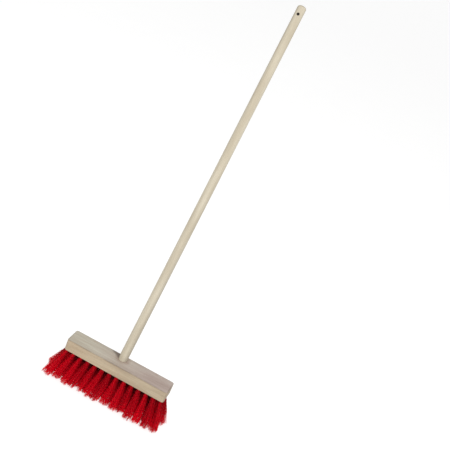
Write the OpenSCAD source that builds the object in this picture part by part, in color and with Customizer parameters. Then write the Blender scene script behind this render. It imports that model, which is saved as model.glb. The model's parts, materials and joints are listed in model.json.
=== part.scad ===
// Push broom: a beech block filled with four rows of fibre tufts, on a tapered push-fit handle.
// +Z is up and +X runs along the block. The floor is z = 0, under the middle of the block,
// and the handle leans back towards +Y.

/* [Block] */
// Length of the block
block_length = 336; // [300:1:450]
// Width of the block, front to back
block_width = 62; // [60:1:80]
// Thickness of the block
block_height = 38; // [37:1:45]
// Radius of the block's upright corners
corner_radius = 7; // [4:0.5:12]
// Radius of the softened edges around the top and bottom faces
edge_radius = 2; // [1:0.5:3]

/* [Handle] */
// Diameter of the handle
handle_diameter = 28; // [26:1:30]
// Length of the handle from end to end
handle_length = 1200; // [900:10:1500]
// How far the handle leans back from upright, in degrees
handle_lean = 24; // [15:1:28]
// How far behind the middle of the block the handle's axis meets the top face
handle_setback = 13; // [8:0.5:14]
// Depth of the handle in its socket, along its axis
socket_depth = 20; // [14:0.5:20]
// Distance above the block's top face at which the push-fit taper starts, along the axis
taper_rise = 8; // [7:0.5:15]
// Slope of that taper, in degrees a side
taper_angle = 5; // [3:0.5:7]
// Radius of the rounding around the top end
crown_radius = 7; // [2:0.5:10]
// Diameter of the hole for hanging the broom
hang_hole_diameter = 8; // [5:0.5:10]
// Distance of the hanging hole from the top end
hang_hole_inset = 30; // [20:1:60]

/* [Tufts] */
// Height of the block's underside above the floor
free_height = 100; // [60:1:110]
// Number of tufts in the first and third rows; the other two have one fewer
tufts_in_long_row = 14; // [11:1:14]
// Distance of a long row's end tufts from the end of the block
end_margin = 9; // [8:0.5:20]
// Distance between rows
row_spacing = 15; // [14:0.5:15]
// Diameter of the holes that hold the tufts
tuft_hole_diameter = 9; // [6:0.5:9]
// Depth of those holes, along each tuft
tuft_hole_depth = 12.5; // [10:0.5:12.5]
// Diameter of a tuft where its fibres have opened out, just below the block
tuft_neck_diameter = 11.5; // [10:0.5:13]
// Diameter of a tuft at its trimmed end
tuft_tip_diameter = 18; // [14:0.5:22]
// Outward lean of the tufts at the ends of the block, in degrees
end_lean = 17; // [10:1:18]
// Outward lean of the front and rear rows, in degrees
outer_row_lean = 12; // [8:1:16]
// Outward lean of the two inner rows, in degrees
inner_row_lean = 4; // [3:0.5:6]

/* [Anchors] */
// Thickness of the flat wire across each tuft's fold
anchor_thickness = 0.6; // [0.4:0.1:1]
// Width of that wire, along the tuft
anchor_width = 2.4; // [1.5:0.1:3]
// Height of the wire above the bottom of the hole
anchor_lift = 1.2; // [0.8:0.1:2]
// How far the wire bites into the wood on each side
anchor_bite = 0.4; // [0.2:0.1:0.6]

/* [Hidden] */
$fn = 64;

fit_clearance = 0.05;
tuft_clearance = 0.05;
seat_gap = 0.2;
edge_break = 0.5;
overrun = 2;

block_top = free_height + block_height;
handle_radius = handle_diameter / 2;
taper_length = socket_depth + taper_rise;
taper_end_radius = handle_radius - taper_length * tan(taper_angle);
handle_out = handle_length - socket_depth;
hang_hole_radius = hang_hole_diameter / 2;

tuft_root_radius = tuft_hole_diameter / 2 - tuft_clearance;
root_overlap = tuft_root_radius * tan(end_lean + outer_row_lean);
neck_length = 16;
tuft_slant = free_height / (cos(end_lean) * cos(outer_row_lean));
floor_slab = tuft_slant - free_height + tuft_tip_diameter;
floor_slab_side = 3 * tuft_tip_diameter + 2 * tuft_slant;
anchor_length = tuft_hole_diameter + 2 * anchor_bite;

end_tuft_x = block_length / 2 - end_margin;
tuft_pitch = 2 * end_tuft_x / (tufts_in_long_row - 1);
row_names = ["front", "front_middle", "rear_middle", "rear"];
row_y = [for (i = [0:3]) (i - 1.5) * row_spacing];
row_lean = [-outer_row_lean, -inner_row_lean, inner_row_lean, outer_row_lean];
row_count = [for (i = [0:3]) tufts_in_long_row - i % 2];

function tuft_x(row, n) = (n - (row_count[row] - 1) / 2) * tuft_pitch;
function tuft_name(row, n) = str("tuft_", row_names[row], "_", n + 1);

TUFT_NAMES = [for (row = [0:3]) for (n = [0:row_count[row] - 1]) tuft_name(row, n)];

// Puts its children at a tuft's hole mouth, with +Z running up the hole.
module at_tuft(row, n) {
    x = tuft_x(row, n);
    lean_x = end_lean * x / end_tuft_x;
    translate([x, row_y[row], free_height])
        rotate([row_lean[row], -lean_x, 0])
            children();
}

module at_every_tuft() {
    for (row = [0:3])
        for (n = [0:row_count[row] - 1])
            at_tuft(row, n) children();
}

// Puts its children where the handle's axis meets the block's top face, with +Z up the handle.
module on_handle_axis() {
    translate([0, handle_setback, block_top])
        rotate([-handle_lean, 0, 0])
            children();
}

// Half of a plank's cross-section, out to reach, with its two outer edges rounded.
module edge_profile(reach) {
    square([reach - edge_radius, block_height]);
    translate([0, edge_radius])
        square([reach, block_height - 2 * edge_radius]);
    for (height = [edge_radius, block_height - edge_radius])
        translate([reach - edge_radius, height])
            circle(edge_radius);
}

// A plank section that runs along X, as wide as twice its reach.
module plank(length, reach) {
    rotate([90, 0, 90])
        translate([0, 0, -length / 2])
            linear_extrude(length) {
                edge_profile(reach);
                mirror([1, 0]) edge_profile(reach);
            }
}

module block_blank() {
    corner_x = block_length / 2 - corner_radius;
    corner_y = block_width / 2 - corner_radius;
    plank(2 * corner_x, block_width / 2);
    rotate([0, 0, 90]) plank(2 * corner_y, block_length / 2);
    for (x = [-corner_x, corner_x])
        for (y = [-corner_y, corner_y])
            translate([x, y, 0])
                rotate_extrude() edge_profile(corner_radius);
}

module block() {
    color("tan")
        difference() {
            translate([0, 0, free_height]) block_blank();
            on_handle_axis() handle_socket();
            at_every_tuft()
                translate([0, 0, -overrun])
                    cylinder(h = tuft_hole_depth + overrun, d = tuft_hole_diameter);
        }
}

// The tapered hole that the handle pushes into.
module handle_socket() {
    translate([0, 0, -socket_depth])
        cylinder(
            h = taper_length,
            r1 = taper_end_radius + fit_clearance,
            r2 = handle_radius + fit_clearance
        );
    translate([0, 0, -socket_depth - seat_gap])
        cylinder(h = seat_gap + overrun, r = taper_end_radius + fit_clearance);
}

module handle() {
    crown_start = handle_out - crown_radius;
    color("wheat")
        on_handle_axis()
            difference() {
                union() {
                    translate([0, 0, -socket_depth])
                        cylinder(h = taper_length, r1 = taper_end_radius, r2 = handle_radius);
                    translate([0, 0, taper_rise])
                        cylinder(h = crown_start - taper_rise, r = handle_radius);
                    translate([0, 0, crown_start]) handle_crown();
                }
                translate([0, 0, handle_out - hang_hole_inset])
                    rotate([90, 0, 0]) hang_hole();
            }
}

module handle_crown() {
    rotate_extrude() {
        square([handle_radius - crown_radius, crown_radius]);
        translate([handle_radius - crown_radius, 0])
            intersection() {
                circle(crown_radius);
                square(crown_radius);
            }
    }
}

// The cross hole, with its two rims eased.
module hang_hole() {
    cylinder(h = 2 * (handle_radius + overrun), r = hang_hole_radius, center = true);
    for (side = [0, 180])
        rotate([0, side, 0])
            translate([0, 0, handle_radius - edge_break])
                cylinder(
                    h = edge_break + overrun,
                    r1 = hang_hole_radius,
                    r2 = hang_hole_radius + edge_break + overrun
                );
}

// One strip of flat wire across a tuft's fold.
module anchor() {
    translate([0, 0, tuft_hole_depth - anchor_lift - anchor_width / 2])
        cube([anchor_length, anchor_thickness, anchor_width], center = true);
}

module tuft_anchors() {
    color("silver") at_every_tuft() anchor();
}

// One tuft: its folded root in the hole, the opening fibres, and the end trimmed at the floor.
module tuft(row, n) {
    color("red")
        difference() {
            at_tuft(row, n)
                difference() {
                    tuft_bundle();
                    anchor();
                }
            translate([tuft_x(row, n), row_y[row], -floor_slab / 2])
                cube([floor_slab_side, floor_slab_side, floor_slab], center = true);
        }
}

// The whole bundle's outer shape, from its trimmed tips up to the fold at the bottom of the hole.
module tuft_bundle() {
    tip_end = root_overlap + tuft_slant + overrun;
    rotate_extrude()
        polygon([
            [0, -tip_end],
            [tuft_tip_diameter / 2, -tip_end],
            [tuft_neck_diameter / 2, -root_overlap - neck_length],
            [tuft_root_radius, -root_overlap],
            [tuft_root_radius, tuft_hole_depth],
            [0, tuft_hole_depth]
        ]);
}

block();
handle();
tuft_anchors();
for (row = [0:3])
    for (n = [0:row_count[row] - 1])
        tuft(row, n);
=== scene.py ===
"""Push broom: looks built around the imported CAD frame. Metres, +Z up, the handle leans to +Y."""

import json
import math

import bpy
import numpy as np
from mathutils import Matrix, Vector


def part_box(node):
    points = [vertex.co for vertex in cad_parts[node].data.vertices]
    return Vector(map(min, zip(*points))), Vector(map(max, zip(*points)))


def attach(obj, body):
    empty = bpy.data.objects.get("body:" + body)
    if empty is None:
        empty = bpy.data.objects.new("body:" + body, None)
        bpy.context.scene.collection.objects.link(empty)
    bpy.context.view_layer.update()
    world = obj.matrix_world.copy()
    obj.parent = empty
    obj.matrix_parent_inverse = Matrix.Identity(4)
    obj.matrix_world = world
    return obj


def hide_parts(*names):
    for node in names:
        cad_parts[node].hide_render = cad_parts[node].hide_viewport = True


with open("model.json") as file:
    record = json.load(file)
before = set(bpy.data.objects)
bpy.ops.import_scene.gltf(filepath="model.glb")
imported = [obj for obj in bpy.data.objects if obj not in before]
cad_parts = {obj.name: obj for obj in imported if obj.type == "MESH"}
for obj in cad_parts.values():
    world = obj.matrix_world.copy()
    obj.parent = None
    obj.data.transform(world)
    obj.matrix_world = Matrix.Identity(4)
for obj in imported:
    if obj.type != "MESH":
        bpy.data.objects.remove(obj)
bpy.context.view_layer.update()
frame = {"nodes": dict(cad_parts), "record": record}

mounts = {m["name"]: m for m in frame["record"]["mounts"]}
block_low, block_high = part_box("block")
SEED = 20260
MM = 0.001

# ---------------------------------------------------------------- sizes

CORNER_RADIUS = 7 * MM
CORNER_STEPS = 10
EDGE_RADIUS = 2 * MM
EDGE_STEPS = 6
BLOCK_CRISP_ANGLE = 32

HANDLE_RADIUS = mounts["handle_grip"]["dims"]["r_mm"] * MM
HANDLE_AXIS = Vector(mounts["handle_grip"]["axis"])
HANDLE_SIDES = 96
HANDLE_OUT = 1180 * MM
SHAFT_STEPS = 40
CROWN_RADIUS = 7 * MM
CROWN_STEPS = 10
HANDLE_CRISP_ANGLE = 38

SOCKET_MOUTH = Vector(mounts["head_socket"]["pos_m"])
SOCKET_DEPTH = 20 * MM
TAPER_RISE = 8 * MM
TAPER_SLOPE = math.tan(math.radians(5))
TAPER_END_RADIUS = HANDLE_RADIUS - (SOCKET_DEPTH + TAPER_RISE) * TAPER_SLOPE
TAPER_EASE = 0.8 * MM
SHAFT_LEAD = 2 * MM
FIT_CLEARANCE = 0.05 * MM
SEAT_GAP = 0.2 * MM
CUTTER_REACH = 6 * MM

HOLE_RADIUS = mounts["hang_hole"]["dims"]["r_mm"] * MM
HANG_ALONG = (Vector(mounts["hang_hole"]["pos_m"]) - SOCKET_MOUTH).dot(HANDLE_AXIS)
HOLE_SIDES = 48
HOLE_RIM = 1.0 * MM
HOLE_RIM_STEPS = 5
HOLE_RIM_SINK = 1.3
HOLE_CUTTER_FLARE = 2.2 * MM
HOLE_CUTTER_OVERRUN = 2 * MM

TUFT_HOLE_RADIUS = 4.5 * MM
TUFT_HOLE_DEPTH = 12.5 * MM
TUFT_HOLE_SIDES = 40
TUFT_HOLE_RIM = 0.5 * MM
TUFT_HOLE_OVERRUN = 3 * MM

# The flat end of a CAD tuft's root: how nearly upright it faces, and how far down it may reach.
ROOT_CAP_FACING = 0.85
ROOT_CAP_REACH = 6 * MM


# ---------------------------------------------------------------- helpers


def new_object(name, verts, faces, smooth=True):
    mesh = bpy.data.meshes.new(name)
    mesh.from_pydata([tuple(v) for v in verts], [], [tuple(f) for f in faces])
    mesh.validate()
    mesh.polygons.foreach_set("use_smooth", [smooth] * len(mesh.polygons))
    obj = bpy.data.objects.new(name, mesh)
    bpy.context.scene.collection.objects.link(obj)
    return obj


def circle(radius, z, sides):
    angles = [2 * math.pi * k / sides for k in range(sides)]
    return [(radius * math.cos(a), radius * math.sin(a), z) for a in angles]


def lathe(name, profile, sides):
    """A closed solid of revolution about Z, from (radius, z) points that start and end on Z."""
    verts = [(0, 0, profile[0][1])]
    for radius, z in profile[1:-1]:
        verts += circle(radius, z, sides)
    verts.append((0, 0, profile[-1][1]))
    rings = len(profile) - 2
    last = 1 + (rings - 1) * sides
    faces = []
    for k in range(sides):
        nxt = (k + 1) % sides
        faces.append((0, 1 + nxt, 1 + k))
        for ring in range(rings - 1):
            a, b = 1 + ring * sides, 1 + (ring + 1) * sides
            faces.append((a + k, a + nxt, b + nxt, b + k))
        faces.append((last + k, last + nxt, len(verts) - 1))
    return new_object(name, verts, faces)


def axis_matrix(origin, up):
    """A frame at origin with +Z along up, and +X as near the model's +X as it can be."""
    z = Vector(up).normalized()
    x = (Vector((1, 0, 0)) - z * z.x).normalized()
    y = z.cross(x)
    matrix = Matrix((x, y, z)).transposed().to_4x4()
    matrix.translation = Vector(origin)
    return matrix


def cut(obj, cutter):
    """Takes cutter out of obj, keeps the result in obj's mesh and deletes the cutter."""
    modifier = obj.modifiers.new("cut", "BOOLEAN")
    modifier.operation = "DIFFERENCE"
    modifier.solver = "EXACT"
    modifier.object = cutter
    bpy.context.view_layer.update()
    graph = bpy.context.evaluated_depsgraph_get()
    result = bpy.data.meshes.new_from_object(obj.evaluated_get(graph), depsgraph=graph)
    obj.modifiers.remove(modifier)
    obj.data = result
    bpy.data.objects.remove(cutter)


def soften_shading(obj, crisp_angle):
    """Smooth shading, with flat faces kept flat and edges past crisp_angle kept crisp."""
    for polygon in obj.data.polygons:
        polygon.use_smooth = True
    obj.data.set_sharp_from_angle(angle=math.radians(crisp_angle))
    modifier = obj.modifiers.new("normals", "WEIGHTED_NORMAL")
    modifier.keep_sharp = True
    modifier.weight = 100


def dress(obj, material, body, node):
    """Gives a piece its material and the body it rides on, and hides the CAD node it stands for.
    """
    obj.data.materials.clear()
    obj.data.materials.append(material)
    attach(obj, body)
    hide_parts(node)


# ---------------------------------------------------------------- materials

# Sockets of the Mix node when it mixes colours.
MIX_FACTOR, MIX_A, MIX_B, MIX_RESULT = 0, 6, 7, 2


class Nodes:
    """Small helper for writing a material's node tree."""

    def __init__(self, name):
        self.material = bpy.data.materials.new(name)
        self.material.use_nodes = True
        self.tree = self.material.node_tree
        self.tree.nodes.clear()
        out = self.add("ShaderNodeOutputMaterial")
        self.shader = self.add("ShaderNodeBsdfPrincipled")
        self.link(self.shader.outputs["BSDF"], out.inputs["Surface"])

    def add(self, kind, **settings):
        node = self.tree.nodes.new(kind)
        for key, value in settings.items():
            setattr(node, key, value)
        return node

    def link(self, source, target):
        self.tree.links.new(source, target)

    def feed(self, socket, value):
        if isinstance(value, bpy.types.NodeSocket):
            self.link(value, socket)
        else:
            socket.default_value = value

    def shade(self, **values):
        """Sets or links the shader's own sockets, such as Base_Color."""
        for name, value in values.items():
            self.feed(self.shader.inputs[name.replace("_", " ")], value)

    def attribute(self, name):
        return self.add("ShaderNodeAttribute", attribute_name=name).outputs["Fac"]

    def split(self, vector):
        node = self.add("ShaderNodeSeparateXYZ")
        self.link(vector, node.inputs[0])
        return node.outputs

    def math(self, operation, a, b=None):
        node = self.add("ShaderNodeMath", operation=operation)
        self.feed(node.inputs[0], a)
        if b is not None:
            self.feed(node.inputs[1], b)
        return node.outputs[0]

    def product(self, first, *others):
        for other in others:
            first = self.math("MULTIPLY", first, other)
        return first

    def hypotenuse(self, a, b):
        squares = self.math("ADD", self.math("MULTIPLY", a, a), self.math("MULTIPLY", b, b))
        return self.math("SQRT", squares)

    def scaled(self, vector, scale, offset=(0, 0, 0)):
        node = self.add("ShaderNodeMapping")
        self.link(vector, node.inputs["Vector"])
        node.inputs["Scale"].default_value = scale
        node.inputs["Location"].default_value = offset
        return node.outputs["Vector"]

    def noise(self, vector, detail=3.0, roughness=0.55):
        node = self.add("ShaderNodeTexNoise")
        self.link(vector, node.inputs["Vector"])
        node.inputs["Scale"].default_value = 1.0
        node.inputs["Detail"].default_value = detail
        node.inputs["Roughness"].default_value = roughness
        return node.outputs["Fac"]

    def remap(self, value, low, high, to_low=0.0, to_high=1.0):
        node = self.add("ShaderNodeMapRange", clamp=True)
        self.feed(node.inputs["Value"], value)
        node.inputs["From Min"].default_value = low
        node.inputs["From Max"].default_value = high
        node.inputs["To Min"].default_value = to_low
        node.inputs["To Max"].default_value = to_high
        return node.outputs["Result"]

    def mix(self, factor, a, b, blend="MIX"):
        node = self.add("ShaderNodeMix", data_type="RGBA", blend_type=blend)
        self.feed(node.inputs[MIX_FACTOR], factor)
        for socket, value in ((node.inputs[MIX_A], a), (node.inputs[MIX_B], b)):
            self.feed(socket, (*value, 1) if isinstance(value, tuple) else value)
        return node.outputs[MIX_RESULT]

    def tint(self, factor, colour, tint):
        """Multiplies colour by tint, as far as factor goes from 0 to 1."""
        return self.mix(factor, colour, self.mix(1.0, colour, tint, "MULTIPLY"))

    def bump(self, height, strength, distance):
        node = self.add("ShaderNodeBump")
        node.inputs["Strength"].default_value = strength
        node.inputs["Distance"].default_value = distance
        self.link(height, node.inputs["Height"])
        self.link(node.outputs["Normal"], self.shader.inputs["Normal"])


# Colours are linear RGB, and a tint multiplies the wood under it.
TOP_LEFT_TINT = (1.12, 1.30, 1.54)
TOP_RIGHT_TINT = (0.91, 0.91, 1.17)
TOP_BACK_RIGHT_TINT = (0.98, 1.04, 1.34)
SIDE_LEFT_TINT = (1.0, 1.0, 1.0)
SIDE_RIGHT_TINT = (0.92, 0.93, 0.94)
END_TINT = (0.62, 0.56, 0.50)
LOWER_EDGE_TINT = (0.98, 0.84, 0.82)
# Painted shade: the upper edges, the ring round the socket, the handle's shadow on the block, the
# handle's sides and the inside of its hanging hole.
UPPER_EDGE_SHADE_TINT = (0.56, 0.54, 0.56)
SOCKET_SHADE_TINT = (0.66, 0.55, 0.50)
HANDLE_SHADOW_TINT = (0.43, 0.40, 0.40)
HANDLE_GREY_TINT = (0.50, 0.50, 0.52)
HOLE_SHADE_TINT = (0.10, 0.07, 0.05)

# Scales of the wood's noise, along the grain and across it, per metre.
WANDER_SCALE = (3.0, 14.0)
BROAD_SCALE = (5.0, 40.0)
STREAK_SCALE = (14.0, 900.0)
FIBRE_SCALE = (60.0, 3800.0)
FLECK_SCALE = (330.0, 2300.0)
PATCH_SCALE = (25.0, 60.0)
RINGS_PER_METRE = 330.0
RING_WANDER = 9.0
LATE_WOOD_POWER = 5.0

# Where each part of the wood's look starts and is full, as values of a noise.
BROAD_SPAN = (0.38, 0.62)
STREAK_SPAN = (0.38, 0.70)
FLECK_SPAN = (0.635, 0.70)
STREAK_STRENGTH = 0.55
LATE_WOOD_STRENGTH = 0.28
FLECK_STRENGTH = 0.5

# Where each mark on the block starts and is full: as a part of the normal, or in metres.
TOP_FACING = (0.55, 0.95)
END_FACING = (0.6, 0.95)
END_STRENGTH = 0.55
RIGHTWARD_SPAN = (-120 * MM, 100 * MM)
BACKWARD_SPAN = (4 * MM, 24 * MM)
EDGE_SHADE_AND_TONE_SPAN = (-4.2 * MM, -0.6 * MM)
EDGE_TONE_MARGIN = 8 * MM
SOCKET_SHADE_SPAN = (HANDLE_RADIUS - 0.5 * MM, HANDLE_RADIUS + 14 * MM)
SOCKET_SHADE_STRENGTH = 0.80
HANDLE_SHADOW_SLOPE = 0.66
HANDLE_SHADOW_SPAN = (-6.5 * MM, 3.5 * MM)
HANDLE_SHADOW_LEFT_END = (-60 * MM, -38 * MM)
HANDLE_SHADOW_RIGHT_END = (-10 * MM, -14 * MM)
HANDLE_SHADOW_FACING = (0.2, 0.6)

# The same for the handle: across it in radii, and up it in metres.
LEFT_SHADE_SPAN, LEFT_SHADE_RISE, LEFT_SHADE_STRENGTH = (-0.30, -0.95), (0.62, 1.12), 0.36
RIGHT_SHADE_SPAN, RIGHT_SHADE_RISE, RIGHT_SHADE_STRENGTH = (0.30, 0.95), (0.62, 0.25), 0.40
END_GREY_RISE = (HANDLE_OUT - 6 * MM, HANDLE_OUT - 1 * MM)
END_GREY_STRENGTH = 0.5
HOLE_SHADE_SPAN = (HOLE_RADIUS + 1.2 * MM, HOLE_RADIUS + 0.2 * MM)


def near_edge(n, xyz, low, high):
    """How close a point is to a box's edge: the middle one of its three depths past the faces."""
    depth = []
    for k, letter in enumerate("XYZ"):
        middle, half = (low[k] + high[k]) / 2, (high[k] - low[k]) / 2
        away = n.math("ABSOLUTE", n.math("SUBTRACT", xyz[letter], middle))
        depth.append(n.math("SUBTRACT", away, half))
    pairs = [n.math("MINIMUM", depth[i], depth[j]) for i, j in ((0, 1), (1, 2), (0, 2))]
    return n.math("MAXIMUM", n.math("MAXIMUM", pairs[0], pairs[1]), pairs[2])


def block_details(n, colour, xyz, stretch):
    """The block's tone from end to end, painted shade on its upper edges, a reddish tone on its
    lower ones, and painted shade and a painted shadow round the handle.
    """
    x, y, z = xyz["X"], xyz["Y"], xyz["Z"]
    normal = n.split(n.add("ShaderNodeTexCoord").outputs["Normal"])

    # Cooler to the left and pinker to the right on top, and darker ends.
    upward = n.remap(normal["Z"], *TOP_FACING)
    rightward = n.remap(x, *RIGHTWARD_SPAN)
    backward = n.remap(y, *BACKWARD_SPAN)
    top_right_tint = n.mix(backward, TOP_RIGHT_TINT, TOP_BACK_RIGHT_TINT)
    top_tint = n.mix(rightward, TOP_LEFT_TINT, top_right_tint)
    side_tint = n.mix(rightward, SIDE_LEFT_TINT, SIDE_RIGHT_TINT)
    colour = n.mix(1.0, colour, n.mix(upward, side_tint, top_tint), "MULTIPLY")
    ends = n.remap(n.math("ABSOLUTE", normal["X"]), *END_FACING, 0.0, END_STRENGTH)
    colour = n.tint(ends, colour, END_TINT)

    # Painted shade greys the upper edges, in patches, and the lower edges are reddish.
    patches = n.noise(stretch(PATCH_SCALE))
    edge = n.remap(near_edge(n, xyz, block_low, block_high), *EDGE_SHADE_AND_TONE_SPAN)
    edge = n.product(edge, n.remap(patches, 0.35, 0.62, 0.35, 1.0))
    upper = n.remap(z, block_low.z + EDGE_TONE_MARGIN, block_high.z - EDGE_TONE_MARGIN)
    colour = n.tint(edge, colour, n.mix(upper, LOWER_EDGE_TINT, UPPER_EDGE_SHADE_TINT))

    # Painted shade in a ring round the handle, where it goes into the block.
    across = n.product(n.math("SUBTRACT", y, SOCKET_MOUTH.y), HANDLE_AXIS.z)
    out = n.hypotenuse(x, across)
    socket_shade = n.remap(out, *SOCKET_SHADE_SPAN, SOCKET_SHADE_STRENGTH, 0.0)
    socket_shade = n.product(socket_shade, n.remap(patches, 0.3, 0.6, 0.6, 1.0), upward)
    colour = n.tint(socket_shade, colour, SOCKET_SHADE_TINT)

    # A painted shadow of the handle along the back edge, just left of the handle, widest where it
    # meets it.
    handle_shadow = n.product(
        n.remap(n.math("ADD", y, n.product(x, HANDLE_SHADOW_SLOPE)), *HANDLE_SHADOW_SPAN),
        n.remap(x, *HANDLE_SHADOW_LEFT_END),
        n.remap(x, *HANDLE_SHADOW_RIGHT_END),
        n.remap(normal["Z"], *HANDLE_SHADOW_FACING),
    )
    return n.tint(handle_shadow, colour, HANDLE_SHADOW_TINT)


def handle_details(n, colour, xyz, _stretch):
    """Painted shade greys parts of its sides, it is greyer at its end, and painted shade darkens
    the inside of the hanging hole.
    """
    x, z = xyz["X"], xyz["Z"]
    # Painted shade down the left side near the top and down the right side near the block.
    left = n.remap(x, *(share * HANDLE_RADIUS for share in LEFT_SHADE_SPAN))
    left = n.product(left, n.remap(z, *LEFT_SHADE_RISE, 0.0, LEFT_SHADE_STRENGTH))
    right = n.remap(x, *(share * HANDLE_RADIUS for share in RIGHT_SHADE_SPAN))
    right = n.product(right, n.remap(z, *RIGHT_SHADE_RISE, 0.0, RIGHT_SHADE_STRENGTH))
    end = n.remap(z, *END_GREY_RISE, 0.0, END_GREY_STRENGTH)
    greyed = n.math("MAXIMUM", n.math("ADD", left, right), end)
    colour = n.tint(greyed, colour, HANDLE_GREY_TINT)
    # Painted shade inside the hanging hole and on its rim.
    out = n.hypotenuse(x, n.math("SUBTRACT", z, HANG_ALONG))
    return n.tint(n.remap(out, *HOLE_SHADE_SPAN), colour, HOLE_SHADE_TINT)


def beech(name, along, pith, pale, tan, grey, fleck, tone_seed, details):
    """Plain sanded beech. along is the grain's local axis, pith the middle of its growth rings."""
    n = Nodes(name)
    position = n.add("ShaderNodeTexCoord").outputs["Object"]
    other = [k for k in range(3) if k != along]

    def stretch(scales):
        along_scale, across_scale = scales
        scale = [across_scale] * 3
        scale[along] = along_scale
        return n.scaled(position, tuple(scale), (tone_seed, tone_seed * 0.7, tone_seed * 0.3))

    # Growth rings: distance from the pith line, pushed about by slow noise along the board.
    xyz = n.split(position)
    a = n.math("SUBTRACT", xyz[other[0]], pith[0])
    b = n.math("SUBTRACT", xyz[other[1]], pith[1])
    distance = n.hypotenuse(a, b)
    wander = n.noise(stretch(WANDER_SCALE), detail=2.0)
    rings = n.math("ADD", n.product(distance, RINGS_PER_METRE), n.product(wander, RING_WANDER))
    late = n.math("POWER", n.math("FRACT", rings), LATE_WOOD_POWER)

    broad = n.noise(stretch(BROAD_SCALE), detail=4.0)
    streak = n.noise(stretch(STREAK_SCALE), roughness=0.6)
    fibre = n.noise(stretch(FIBRE_SCALE), detail=2.0)
    flecks = n.noise(stretch(FLECK_SCALE), detail=1.0, roughness=0.4)
    fleck_mask = n.remap(flecks, *FLECK_SPAN)

    colour = n.mix(n.remap(broad, *BROAD_SPAN), pale, tan)
    colour = n.mix(n.remap(streak, *STREAK_SPAN, 0.0, STREAK_STRENGTH), colour, grey)
    colour = n.mix(n.product(late, LATE_WOOD_STRENGTH), colour, fleck)
    colour = n.mix(n.product(fleck_mask, FLECK_STRENGTH), colour, fleck)
    n.shade(Base_Color=details(n, colour, xyz, stretch))

    rough = n.math("ADD", streak, n.product(fibre, 0.5))
    n.shade(Roughness=n.remap(rough, 0.4, 1.1, 0.52, 0.68), Specular_IOR_Level=0.35)
    height = n.math("ADD", n.product(streak, 0.6), n.product(fibre, 0.4))
    height = n.math("SUBTRACT", height, n.product(fleck_mask, 0.3))
    n.bump(height, 0.35, 0.25 * MM)
    return n.material


FIBRE_DARK = (0.38, 0.0003, 0.006)
FIBRE_BRIGHT = (0.84, 0.0008, 0.013)
FIBRE_MOTTLE = (0.88, 0.002, 0.018)
FIBRE_WORN = (0.90, 0.012, 0.026)
# The next three colours are painted shade near the roots: on the tufts' crests, down their flanks,
# and on the inner rows.
CREST_SHADE = (0.76, 0.70, 0.72)
FLANK_SHADE = (0.30, 0.26, 0.30)
INNER_SHADE_TINT = (0.14, 0.35, 0.40)

# Shares of a fibre's length, from its root down to its tip, over which each tone fades.
ROOT_SHADE_SPAN = (0.07, 0.82)
INNER_SHADE_SPAN = (0.22, 0.62)
WORN_SPAN = (0.90, 1.0)
WORN_STRENGTH = 0.22
MOTTLE_SPAN = (0.35, 0.75)
MOTTLE_STRENGTH = 0.35
MOTTLE_SCALE = (160, 160, 45)
SCRATCH_SCALE = (2600, 2600, 500)


def fibre_plastic():
    """Extruded red fibre, each one a little lighter or darker and paler at its cut end, with
    painted shade towards the block.
    """
    n = Nodes("red_fibre")
    shade = n.attribute("shade")
    down = n.attribute("down")
    position = n.add("ShaderNodeTexCoord").outputs["Object"]
    mottle = n.noise(n.scaled(position, MOTTLE_SCALE), detail=2.0)
    colour = n.mix(shade, FIBRE_DARK, FIBRE_BRIGHT)
    mottled = n.remap(mottle, *MOTTLE_SPAN, 0.0, MOTTLE_STRENGTH)
    colour = n.mix(mottled, colour, FIBRE_MOTTLE)
    colour = n.mix(n.remap(down, *WORN_SPAN, 0.0, WORN_STRENGTH), colour, FIBRE_WORN)
    # Painted shade darkens it near the block, most of all down the flanks between one tuft and the
    # next.
    root_shade = n.mix(n.attribute("flank"), CREST_SHADE, FLANK_SHADE)
    unshaded = n.remap(down, *ROOT_SHADE_SPAN)
    colour = n.mix(unshaded, n.mix(1.0, colour, root_shade, "MULTIPLY"), colour)
    # Painted shade darkens the two inner rows down among the others, for over half of their
    # length.
    inner_shade = n.product(n.attribute("inner"), n.remap(down, *INNER_SHADE_SPAN, 1.0, 0.0))
    colour = n.tint(inner_shade, colour, INNER_SHADE_TINT)
    n.shade(
        Base_Color=colour,
        Roughness=n.remap(mottle, 0.3, 0.8, 0.30, 0.46),
        Specular_IOR_Level=0.08,
    )
    n.bump(n.noise(n.scaled(position, SCRATCH_SCALE), detail=1.0), 0.15, 0.05 * MM)
    return n.material


def wire_steel():
    """Drawn steel wire, with fine marks along the tuft."""
    n = Nodes("anchor_steel")
    position = n.add("ShaderNodeTexCoord").outputs["Object"]
    brushed_marks = n.noise(n.scaled(position, (900, 900, 90)))
    n.shade(
        Base_Color=n.mix(brushed_marks, (0.46, 0.46, 0.48), (0.70, 0.70, 0.71)),
        Metallic=1.0,
        Roughness=n.remap(brushed_marks, 0.3, 0.7, 0.28, 0.45),
    )
    n.bump(brushed_marks, 0.2, 0.03 * MM)
    return n.material


block_wood = beech(
    "beech_block",
    along=0,
    pith=(0.030, 0.030),
    pale=(0.55, 0.455, 0.315),
    tan=(0.43, 0.335, 0.225),
    grey=(0.34, 0.28, 0.205),
    fleck=(0.36, 0.21, 0.12),
    tone_seed=3.1,
    details=block_details,
)
handle_wood = beech(
    "beech_handle",
    along=2,
    pith=(0.045, 0.028),
    pale=(0.62, 0.57, 0.455),
    tan=(0.52, 0.465, 0.355),
    grey=(0.43, 0.38, 0.29),
    fleck=(0.42, 0.29, 0.18),
    tone_seed=7.7,
    details=handle_details,
)
red_fibre = fibre_plastic()
anchor_steel = wire_steel()


# ---------------------------------------------------------------- tuft axes


def tuft_number(node):
    """A tuft's row name, and its number in the row."""
    row, number = node.rsplit("_", 1)
    return row, int(number)


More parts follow.
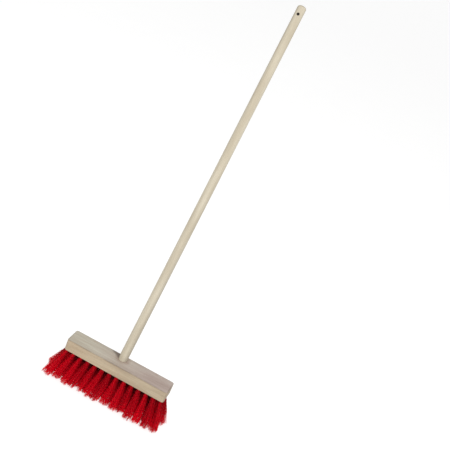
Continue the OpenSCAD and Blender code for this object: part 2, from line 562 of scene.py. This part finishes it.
def tuft_axis(node):
    """The bottom of a tuft's hole and the way up it, read from the flat end of the CAD root."""
    mesh = frame["nodes"][node].data
    top = max(p.center.z for p in mesh.polygons)
    cap = [
        p
        for p in mesh.polygons
        if p.normal.z > ROOT_CAP_FACING and p.center.z > top - ROOT_CAP_REACH
    ]
    area = sum(p.area for p in cap)
    normal = sum((p.normal * p.area for p in cap), Vector()).normalized()
    centre = sum((p.center * p.area for p in cap), Vector()) / area
    return centre, normal


tuft_nodes = [n for n in frame["nodes"] if n.startswith("tuft_") and n != "tuft_anchors"]
tuft_nodes.sort(key=tuft_number)
tuft_axes = {n: tuft_axis(n) for n in tuft_nodes}


# ---------------------------------------------------------------- block


def rounded_outline(inset):
    """Points round the block seen from above, pulled in by inset."""
    radius = CORNER_RADIUS - inset
    centre_x = (block_high.x - block_low.x) / 2 - CORNER_RADIUS
    centre_y = (block_high.y - block_low.y) / 2 - CORNER_RADIUS
    points = []
    for quarter, (sx, sy) in enumerate(((1, 1), (-1, 1), (-1, -1), (1, -1))):
        for k in range(CORNER_STEPS + 1):
            a = math.pi / 2 * (quarter + k / CORNER_STEPS)
            x = sx * centre_x + radius * math.cos(a)
            points.append((x, sy * centre_y + radius * math.sin(a)))
    return points


def block_blank():
    """The block before any hole is cut in it, with all its edges rounded."""
    levels = []
    for k in range(EDGE_STEPS + 1):
        a = math.pi / 2 * k / EDGE_STEPS
        inset = EDGE_RADIUS * (1 - math.sin(a))
        levels.append((inset, block_low.z + EDGE_RADIUS * (1 - math.cos(a))))
    levels += [(inset, block_low.z + block_high.z - z) for inset, z in reversed(levels)]
    verts = [(x, y, z) for inset, z in levels for x, y in rounded_outline(inset)]
    count = len(rounded_outline(0))
    faces = [tuple(reversed(range(count)))]
    for level in range(len(levels) - 1):
        a, b = level * count, (level + 1) * count
        for k in range(count):
            nxt = (k + 1) % count
            faces.append((a + k, a + nxt, b + nxt, b + k))
    faces.append(tuple(range((len(levels) - 1) * count, len(levels) * count)))
    return new_object("beech_block", verts, faces)


def socket_cutter():
    """The tapered socket, run on past the block's top face."""
    seat_radius = TAPER_END_RADIUS + FIT_CLEARANCE
    mouth_radius = HANDLE_RADIUS + FIT_CLEARANCE
    profile = [
        (0, -SOCKET_DEPTH - SEAT_GAP),
        (seat_radius, -SOCKET_DEPTH - SEAT_GAP),
        (seat_radius, -SOCKET_DEPTH),
        (mouth_radius, TAPER_RISE),
        (mouth_radius, TAPER_RISE + CUTTER_REACH),
        (0, TAPER_RISE + CUTTER_REACH),
    ]
    cutter = lathe("socket_cutter", profile, HANDLE_SIDES)
    cutter.matrix_world = axis_matrix(SOCKET_MOUTH, HANDLE_AXIS)
    return cutter


def tuft_holes_cutter():
    """All the tuft holes in one cutter, each with its rim eased by a small countersink."""
    outside = TUFT_HOLE_RADIUS + TUFT_HOLE_RIM + TUFT_HOLE_OVERRUN
    profile = [
        (0, -TUFT_HOLE_DEPTH - TUFT_HOLE_OVERRUN),
        (outside, -TUFT_HOLE_DEPTH - TUFT_HOLE_OVERRUN),
        (TUFT_HOLE_RADIUS, -TUFT_HOLE_DEPTH + TUFT_HOLE_RIM),
        (TUFT_HOLE_RADIUS, 0),
        (0, 0),
    ]
    hole = lathe("hole", profile, TUFT_HOLE_SIDES)
    verts, faces = [], []
    for node in tuft_nodes:
        placed = axis_matrix(*tuft_axes[node])
        start = len(verts)
        verts += [placed @ v.co for v in hole.data.vertices]
        faces += [tuple(start + i for i in p.vertices) for p in hole.data.polygons]
    bpy.data.objects.remove(hole)
    return new_object("hole_cutter", verts, faces)


def make_block():
    block = block_blank()
    cut(block, socket_cutter())
    cut(block, tuft_holes_cutter())
    soften_shading(block, BLOCK_CRISP_ANGLE)
    dress(block, block_wood, "head", "block")


# ---------------------------------------------------------------- handle


def handle_blank():
    """The handle before its hole: eased lower end, taper, straight shaft and rounded crown."""
    profile = [
        (0, -SOCKET_DEPTH),
        (TAPER_END_RADIUS - TAPER_EASE, -SOCKET_DEPTH),
        (TAPER_END_RADIUS - TAPER_EASE * 0.3, -SOCKET_DEPTH + TAPER_EASE * 0.25),
        (TAPER_END_RADIUS + TAPER_EASE * TAPER_SLOPE, -SOCKET_DEPTH + TAPER_EASE),
        (HANDLE_RADIUS, TAPER_RISE),
        (HANDLE_RADIUS, TAPER_RISE + SHAFT_LEAD),
    ]
    crown_start = HANDLE_OUT - CROWN_RADIUS
    for k in range(1, SHAFT_STEPS + 1):
        rise = k / SHAFT_STEPS * (crown_start - TAPER_RISE - SHAFT_LEAD)
        profile.append((HANDLE_RADIUS, TAPER_RISE + SHAFT_LEAD + rise))
    for k in range(1, CROWN_STEPS + 1):
        a = math.pi / 2 * k / CROWN_STEPS
        radius = HANDLE_RADIUS - CROWN_RADIUS + CROWN_RADIUS * math.cos(a)
        profile.append((radius, crown_start + CROWN_RADIUS * math.sin(a)))
    profile.append((0, HANDLE_OUT))
    return lathe("beech_handle", profile, HANDLE_SIDES)


def hang_hole_cutter():
    """The hanging hole, right through from front to back, with both rims rounded over."""
    half = HANDLE_RADIUS + HOLE_CUTTER_OVERRUN
    side = []
    for k in range(HOLE_RIM_STEPS + 1):
        a = math.pi / 2 * k / HOLE_RIM_STEPS
        radius = HOLE_RADIUS + HOLE_RIM * (1 - math.cos(a))
        side.append((radius, HANDLE_RADIUS - HOLE_RIM * HOLE_RIM_SINK + HOLE_RIM * math.sin(a)))
    side.append((HOLE_RADIUS + HOLE_RIM + HOLE_CUTTER_FLARE, half))
    profile = [(0, -half)] + [(r, -z) for r, z in reversed(side)] + side + [(0, half)]
    cutter = lathe("hang_hole_cutter", profile, HOLE_SIDES)
    turned = Matrix.Rotation(math.pi / 2, 4, "X")
    cutter.matrix_world = Matrix.Translation((0, 0, HANG_ALONG)) @ turned
    return cutter


def make_handle():
    handle = handle_blank()
    cut(handle, hang_hole_cutter())
    handle.matrix_world = axis_matrix(SOCKET_MOUTH, HANDLE_AXIS)
    soften_shading(handle, HANDLE_CRISP_ANGLE)
    dress(handle, handle_wood, "handle", "handle")


# ---------------------------------------------------------------- tufts

FIBRES = 104
FIBRE_RADIUS = 0.50 * MM
FIBRE_SIDES = 4
FIBRE_STEPS = 48
FIBRE_VERTS = (FIBRE_STEPS + 1) * FIBRE_SIDES
FIBRE_END_TAPER = 0.72
THICKNESS_RANGE = (0.88, 1.08)
STEPS = np.linspace(0, 1, FIBRE_STEPS + 1)
ROOT_DEPTH = 8.4 * MM

# How far the fibres have opened out at some distances below the block.
FLARE_AT = np.array([0, 7, 25, 50, 105]) * MM
FLARE_RADIUS = np.array([3.9, 6.9, 8.4, 12.2, 15.4]) * MM
FLARE_RANGE = (0.90, 1.08)
BOW_SPREAD = 1.0 * MM

CLUMPS = 7
CLUMP_PULL = 0.42
TIP_REACH_RANGE = (0.88, 1.10)
TIP_SPREAD = 0.09
STRAY_SHARE = 0.03
STRAY_REACH = 1.2

# How much shorter than the floor some ends are: of a fibre, a clump, and one far from its clump.
FIBRE_SHORT = 0.8 * MM
CLUMP_SHORT = 2.8 * MM
APART_SHORT = 3 * MM
MOST_SHORT = 15 * MM
FLOOR_GAP = 0.35 * MM

CRIMP_LENGTH = 10.5 * MM
CRIMP_LENGTH_RANGE = (0.996, 1.004)
CRIMP_DEPTH = 0.80 * MM
CRIMP_DEPTH_RANGE = (0.75, 1.25)
CRIMP_START = 2 * MM
CRIMP_FADE_IN = 10 * MM
CRIMP_SPREAD = 0.18

# How far the tips are pushed over, in mm. Towards the ends of the block the rows behind fan out.
BRUSHED_FRONT_X, BRUSHED_FRONT_Y = -8.6, 2.5
BRUSHED_BEHIND_X, BRUSHED_BEHIND_Y = -11.0, -7.0
BRUSHED_FAN = 5.2
END_MARGIN = 9 * MM
BRUSHED_CURVE = 1.5
BRUSHED_SPREAD = 2.6 * MM

SHADE_MIDDLE = 0.5
TUFT_SHADE_SPREAD = 0.10
CLUMP_SHADE_SPREAD = 0.20
FIBRE_SHADE_SPREAD = 0.13
FLANK_SLOPE = 1.3
FLANK_START = 0.2

GOLDEN = math.pi * (3 - math.sqrt(5))


def smoothstep(x):
    x = np.clip(x, 0, 1)
    return x * x * (3 - 2 * x)


def disc_points(count, first_turn):
    """Points spread evenly over the unit disc, in a sunflower spiral."""
    index = np.arange(count)
    share = np.sqrt((index + 0.5) / count)
    turn = index * GOLDEN + first_turn
    return np.stack([share * np.cos(turn), share * np.sin(turn)], 1)


def brushed(node, mouth):
    """How far use has pushed a tuft's tips over: left, and forwards behind the front row."""
    end_share = mouth[0] / (block_high.x - END_MARGIN)
    if node.startswith("tuft_front_middle") or node.startswith("tuft_rear"):
        return np.array([BRUSHED_BEHIND_X + BRUSHED_FAN * end_share, BRUSHED_BEHIND_Y, 0]) * MM
    return np.array([BRUSHED_FRONT_X - BRUSHED_FAN * end_share, BRUSHED_FRONT_Y, 0]) * MM


def crimp(travel, rng):
    """Each fibre's ripple, sideways at every step along it, nearly in step through the tuft."""
    begun = smoothstep((travel - CRIMP_START) / CRIMP_FADE_IN)
    base_phase = rng.uniform(0, 2 * math.pi)
    base_plane = rng.uniform(0, math.pi)
    phase = base_phase + rng.normal(0, CRIMP_SPREAD, FIBRES)
    plane = base_plane + rng.normal(0, CRIMP_SPREAD, FIBRES)
    pitch = CRIMP_LENGTH * rng.uniform(*CRIMP_LENGTH_RANGE, FIBRES)
    depth = CRIMP_DEPTH * rng.uniform(*CRIMP_DEPTH_RANGE, FIBRES)
    wave = np.sin(2 * math.pi * travel / pitch[:, None] + phase[:, None])
    wave = wave * depth[:, None] * begun
    return np.stack([np.cos(plane), np.sin(plane)], 1)[:, None, :] * wave[:, :, None]


def fibre_paths(node, rng):
    """The middle lines of a tuft's fibres, a direction across them, and their roots and clumps."""
    bottom, up = tuft_axes[node]
    basis = np.array(axis_matrix(bottom, up).to_3x3(), float)
    mouth = np.array(bottom - up * TUFT_HOLE_DEPTH, float)
    side_x, side_y, down = basis[:, 0], basis[:, 1], -basis[:, 2]
    root = disc_points(FIBRES, rng.uniform(0, 2 * math.pi))

    # Fibres gather into a few loose clumps, each with its own middle and its own length.
    middles = disc_points(CLUMPS, rng.uniform(0, 2 * math.pi))
    clump = np.argmin(np.linalg.norm(root[:, None] - middles[None], axis=2), axis=1)
    pull = rng.uniform(0.0, CLUMP_PULL, CLUMPS)[clump][:, None]
    tip = root * (1 - pull) + middles[clump] * pull
    tip = tip * rng.uniform(*TIP_REACH_RANGE, (FIBRES, 1))
    tip = tip + rng.normal(0, TIP_SPREAD, (FIBRES, 2))
    tip[rng.random(FIBRES) < STRAY_SHARE] *= STRAY_REACH

    # Ends are trimmed at the floor, some of them shorter.
    slant = mouth[2] / -down[2]
    apart = np.linalg.norm(tip - middles[clump], axis=1)
    short = rng.exponential(FIBRE_SHORT, FIBRES)
    short = short + np.abs(rng.normal(0, CLUMP_SHORT, CLUMPS))[clump] + apart * APART_SHORT
    length = slant - np.clip(short, 0, MOST_SHORT)
    travel = -ROOT_DEPTH + STEPS[None, :] * (length[:, None] + ROOT_DEPTH)

    # Fibres spread from the hole, bow a little and ripple.
    opened = np.clip(travel / slant, 0, 1)
    flare = np.interp(travel, FLARE_AT, FLARE_RADIUS) * rng.uniform(*FLARE_RANGE)
    spread = smoothstep(opened)[:, :, None]
    centre = (root[:, None, :] * (1 - spread) + tip[:, None, :] * spread) * flare[:, :, None]
    bow = rng.normal(0, BOW_SPREAD, (FIBRES, 2))
    centre = centre + bow[:, None, :] * np.sin(opened * math.pi)[:, :, None]
    centre = centre + crimp(travel, rng)
    path = (
        mouth
        + travel[:, :, None] * down
        + centre[:, :, :1] * side_x
        + centre[:, :, 1:] * side_y
    )

    # The whole tuft is brushed over, more towards its tips, and stays above the floor.
    push = brushed(node, mouth) + np.append(rng.normal(0, BRUSHED_SPREAD, 2), 0)
    path += (opened**BRUSHED_CURVE)[:, :, None] * push
    sunk = np.clip(FLOOR_GAP - path[:, -1, 2], 0, None)
    path[:, :, 2] += sunk[:, None] * opened**2
    return path, side_x, root, clump


def sweep(path, across, rng):
    """Tubes round the paths, as vertices by fibre, by step and by corner."""
    tangent = np.gradient(path, axis=1)
    tangent /= np.linalg.norm(tangent, axis=2, keepdims=True)
    first = np.cross(tangent, np.broadcast_to(across, tangent.shape))
    first /= np.linalg.norm(first, axis=2, keepdims=True)
    second = np.cross(tangent, first)
    turn = (np.arange(FIBRE_SIDES) * 2 * math.pi / FIBRE_SIDES)[None, None, :, None]
    thick = FIBRE_RADIUS * rng.uniform(*THICKNESS_RANGE, FIBRES)
    taper = np.ones(FIBRE_STEPS + 1)
    taper[-1] = FIBRE_END_TAPER
    radius = (thick[:, None] * taper[None, :])[:, :, None, None]
    return (
        path[:, :, None, :]
        + first[:, :, None, :] * (np.cos(turn) * radius)
        + second[:, :, None, :] * (np.sin(turn) * radius)
    )


def tube_faces():
    """The faces of a tuft's tubes: all their sides, then all their ends."""
    corner = np.arange(FIBRE_SIDES)
    step = np.arange(FIBRE_STEPS)
    a = (step[:, None] * FIBRE_SIDES + corner[None, :]).ravel()
    b = (step[:, None] * FIBRE_SIDES + (corner[None, :] + 1) % FIBRE_SIDES).ravel()
    sides = np.stack([a, a + FIBRE_SIDES, b + FIBRE_SIDES, b], 1)
    ends = np.stack([corner, corner[::-1] + FIBRE_STEPS * FIBRE_SIDES], 0)
    start = (np.arange(FIBRES) * FIBRE_VERTS)[:, None, None]
    return [(faces[None] + start).reshape(-1, FIBRE_SIDES) for faces in (sides, ends)]


def tube_mesh(name, verts):
    """A mesh of four-cornered faces, with smooth sides and flat ends."""
    sides, ends = tube_faces()
    corners = np.concatenate([sides, ends])
    mesh = bpy.data.meshes.new(name)
    mesh.vertices.add(verts.size // 3)
    mesh.vertices.foreach_set("co", verts.reshape(-1).astype(np.float32))
    mesh.loops.add(corners.size)
    mesh.loops.foreach_set("vertex_index", corners.reshape(-1).astype(np.int32))
    mesh.polygons.add(len(corners))
    starts = np.arange(0, corners.size, FIBRE_SIDES, dtype=np.int32)
    mesh.polygons.foreach_set("loop_start", starts)
    mesh.polygons.foreach_set("loop_total", np.full(len(corners), FIBRE_SIDES, np.int32))
    mesh.update(calc_edges=True)
    mesh.validate()
    smooth = np.arange(len(corners)) < len(sides)
    mesh.polygons.foreach_set("use_smooth", smooth)
    return mesh


def add_attribute(mesh, name, values):
    data = mesh.attributes.new(name, "FLOAT", "POINT").data
    data.foreach_set("value", values.astype(np.float32))


def is_inner(node):
    """Whether a tuft is in one of the two inner rows, and isn't at the row's end."""
    row, number = tuft_number(node)
    at_end = number == 1 or f"{row}_{number + 1}" not in tuft_axes
    return "middle" in row and not at_end


def make_tuft(node, rng):
    path, across, root, clump = fibre_paths(node, rng)
    mesh = tube_mesh(node, sweep(path, across, rng))

    shade = rng.normal(SHADE_MIDDLE, TUFT_SHADE_SPREAD)
    shade = shade + rng.normal(0, CLUMP_SHADE_SPREAD, CLUMPS)[clump]
    shade = shade + rng.normal(0, FIBRE_SHADE_SPREAD, FIBRES)
    flank = FLANK_SLOPE * np.abs(root[:, 0]) - FLANK_START
    add_attribute(mesh, "shade", np.repeat(np.clip(shade, 0, 1), FIBRE_VERTS))
    add_attribute(mesh, "down", np.tile(np.repeat(STEPS, FIBRE_SIDES), FIBRES))
    add_attribute(mesh, "inner", np.full(FIBRES * FIBRE_VERTS, is_inner(node)))
    add_attribute(mesh, "flank", np.repeat(np.clip(flank, 0, 1), FIBRE_VERTS))

    obj = bpy.data.objects.new("fibres_" + node, mesh)
    bpy.context.scene.collection.objects.link(obj)
    dress(obj, red_fibre, "head", node)


# ---------------------------------------------------------------- floor, light, camera

FLOOR_RADII = [0.5, 1.5, 4, 12, 40, 200]
FLOOR_SIDES = 96
FLOOR_GREYS = ((0.44, 0.44, 0.44), (0.46, 0.46, 0.46))
FLOOR_GLOW = 0.66

WORLD_STRENGTH = 0.64
BACKDROP_WHITE = 0.96

KEY_PLACE = Vector((1.8, -4.5, 5.7))
KEY_TARGET = Vector((0, 0.1, 0.3))
KEY_SIZE = 1.6
KEY_POWER = 270
KEY_COLOUR = (1.0, 0.985, 0.96)

CAMERA_PLACE = (0.3558, -1.7124, 1.2929 + block_high.z)
CAMERA_YAW, CAMERA_PITCH, CAMERA_ROLL = (math.radians(a) for a in (7.854, 23.422, 23.823))
CAMERA_FOCAL = 714.35
FRAME_PIXELS = 450
SENSOR_WIDTH = 36.0


def make_floor():
    """A wide flat disc, finer towards its middle."""
    verts = [(0, 0, 0)]
    for radius in FLOOR_RADII:
        verts += circle(radius, 0, FLOOR_SIDES)
    faces = [(0, 1 + k, 1 + (k + 1) % FLOOR_SIDES) for k in range(FLOOR_SIDES)]
    for ring in range(len(FLOOR_RADII) - 1):
        a, b = 1 + ring * FLOOR_SIDES, 1 + (ring + 1) * FLOOR_SIDES
        for k in range(FLOOR_SIDES):
            nxt = (k + 1) % FLOOR_SIDES
            faces.append((a + k, b + k, b + nxt, a + nxt))
    floor = new_object("studio_floor", verts, faces, smooth=False)
    n = Nodes("studio_white")
    position = n.add("ShaderNodeTexCoord").outputs["Object"]
    faint = n.noise(n.scaled(position, (3, 3, 3)), detail=2.0)
    n.shade(
        Base_Color=n.mix(faint, *FLOOR_GREYS),
        Emission_Color=(1, 1, 1, 1),
        Emission_Strength=FLOOR_GLOW,
        Roughness=0.9,
        Specular_IOR_Level=0.1,
    )
    floor.data.materials.append(n.material)


def make_world():
    """An even white world, which looks nearly as white as the floor but gives a softer light."""
    world = bpy.data.worlds.new("studio")
    bpy.context.scene.world = world
    world.use_nodes = True
    tree = world.node_tree
    background = tree.nodes["Background"]
    background.inputs["Color"].default_value = (1, 1, 1, 1)
    path = tree.nodes.new("ShaderNodeLightPath")
    seen = tree.nodes.new("ShaderNodeMapRange")
    seen.inputs["To Min"].default_value = WORLD_STRENGTH
    seen.inputs["To Max"].default_value = BACKDROP_WHITE
    tree.links.new(path.outputs["Is Camera Ray"], seen.inputs["Value"])
    tree.links.new(seen.outputs["Result"], background.inputs["Strength"])


def make_key_light():
    """One large soft light, in front, above and to the right."""
    light = bpy.data.lights.new("key", "AREA")
    light.shape = "DISK"
    light.size = KEY_SIZE
    light.energy = KEY_POWER
    light.color = KEY_COLOUR
    obj = bpy.data.objects.new("key", light)
    bpy.context.scene.collection.objects.link(obj)
    obj.location = KEY_PLACE
    obj.rotation_mode = "QUATERNION"
    obj.rotation_quaternion = (KEY_TARGET - KEY_PLACE).to_track_quat("-Z", "Y")


def make_camera():
    """Where the picture was taken from: in front, a little to the right, above, and tilted."""
    turn_x, turn_y = math.cos(CAMERA_YAW), math.sin(CAMERA_YAW)
    flat = math.cos(CAMERA_PITCH)
    ahead = Vector((-turn_y * flat, turn_x * flat, -math.sin(CAMERA_PITCH)))
    level = Vector((turn_x, turn_y, 0))
    upward = level.cross(ahead)
    right = math.cos(CAMERA_ROLL) * level + math.sin(CAMERA_ROLL) * upward
    top = -math.sin(CAMERA_ROLL) * level + math.cos(CAMERA_ROLL) * upward
    camera = bpy.data.objects.new("camera", bpy.data.cameras.new("camera"))
    matrix = Matrix((right, top, -ahead)).transposed().to_4x4()
    matrix.translation = Vector(CAMERA_PLACE)
    camera.matrix_world = matrix
    camera.data.sensor_width = SENSOR_WIDTH
    camera.data.lens = CAMERA_FOCAL / FRAME_PIXELS * SENSOR_WIDTH
    camera.data.clip_start = 0.05
    camera.data.clip_end = 500
    bpy.context.scene.collection.objects.link(camera)
    bpy.context.scene.camera = camera


# ---------------------------------------------------------------- the whole scene

make_block()
make_handle()
for number, node in enumerate(tuft_nodes):
    make_tuft(node, np.random.default_rng(SEED + number))

anchors = frame["nodes"]["tuft_anchors"]
anchors.data.materials.clear()
anchors.data.materials.append(anchor_steel)

make_floor()
make_world()
make_key_light()
make_camera()
bpy.context.scene.view_settings.view_transform = "Standard"
